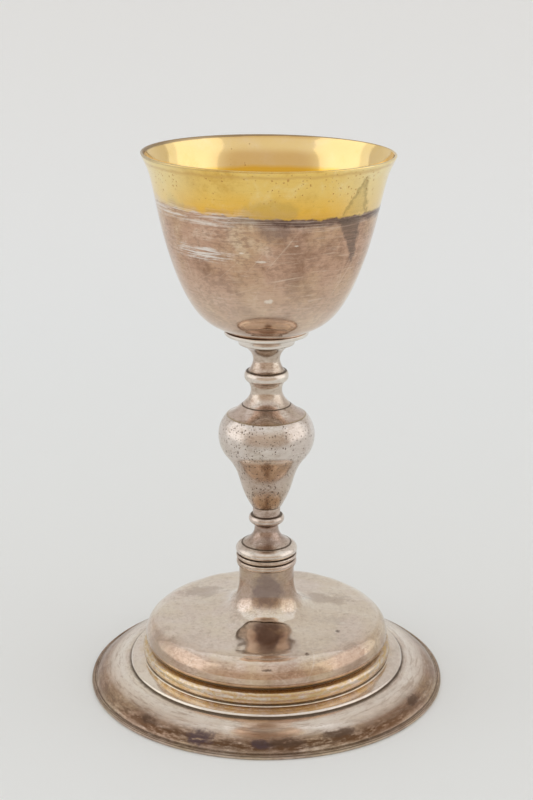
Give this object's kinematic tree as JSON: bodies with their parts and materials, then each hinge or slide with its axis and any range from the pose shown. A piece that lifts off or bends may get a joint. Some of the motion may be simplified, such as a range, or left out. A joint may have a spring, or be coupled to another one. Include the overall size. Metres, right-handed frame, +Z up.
{
  "type": "chalice",
  "caption": "Parcel-gilt silver chalice: deep bowl with a flared lip, baluster stem with a pear-shaped knop, and a hollow round stepped foot.",
  "frame": {"origin": "centre of the circle that the foot stands on, on the plane it stands on", "axes": "+Z up along the axis of the stem; the chalice is round about it, so X and Y are free"},
  "size_m": [0.16, 0.16, 0.2401],
  "materials": {
    "tarnished_silver": "polished silver under a thin mauve-brown tarnish, with fine scratches and dark stains in the grooves",
    "worn_silver": "whiter cast silver with many small dark pits",
    "parcel_gilt_silver": "silver gilt inside and on a band below the lip, the rest tarnished silver"
  },
  "bodies": {
    "root": {"foot": "tarnished_silver", "stem_collar": "tarnished_silver", "lower_spool": "tarnished_silver", "knop": "worn_silver", "knop_cap": "tarnished_silver", "stem_ring": "tarnished_silver", "upper_spool": "tarnished_silver", "bowl_collar": "tarnished_silver", "bowl": "parcel_gilt_silver"}
  },
  "joints": []
}
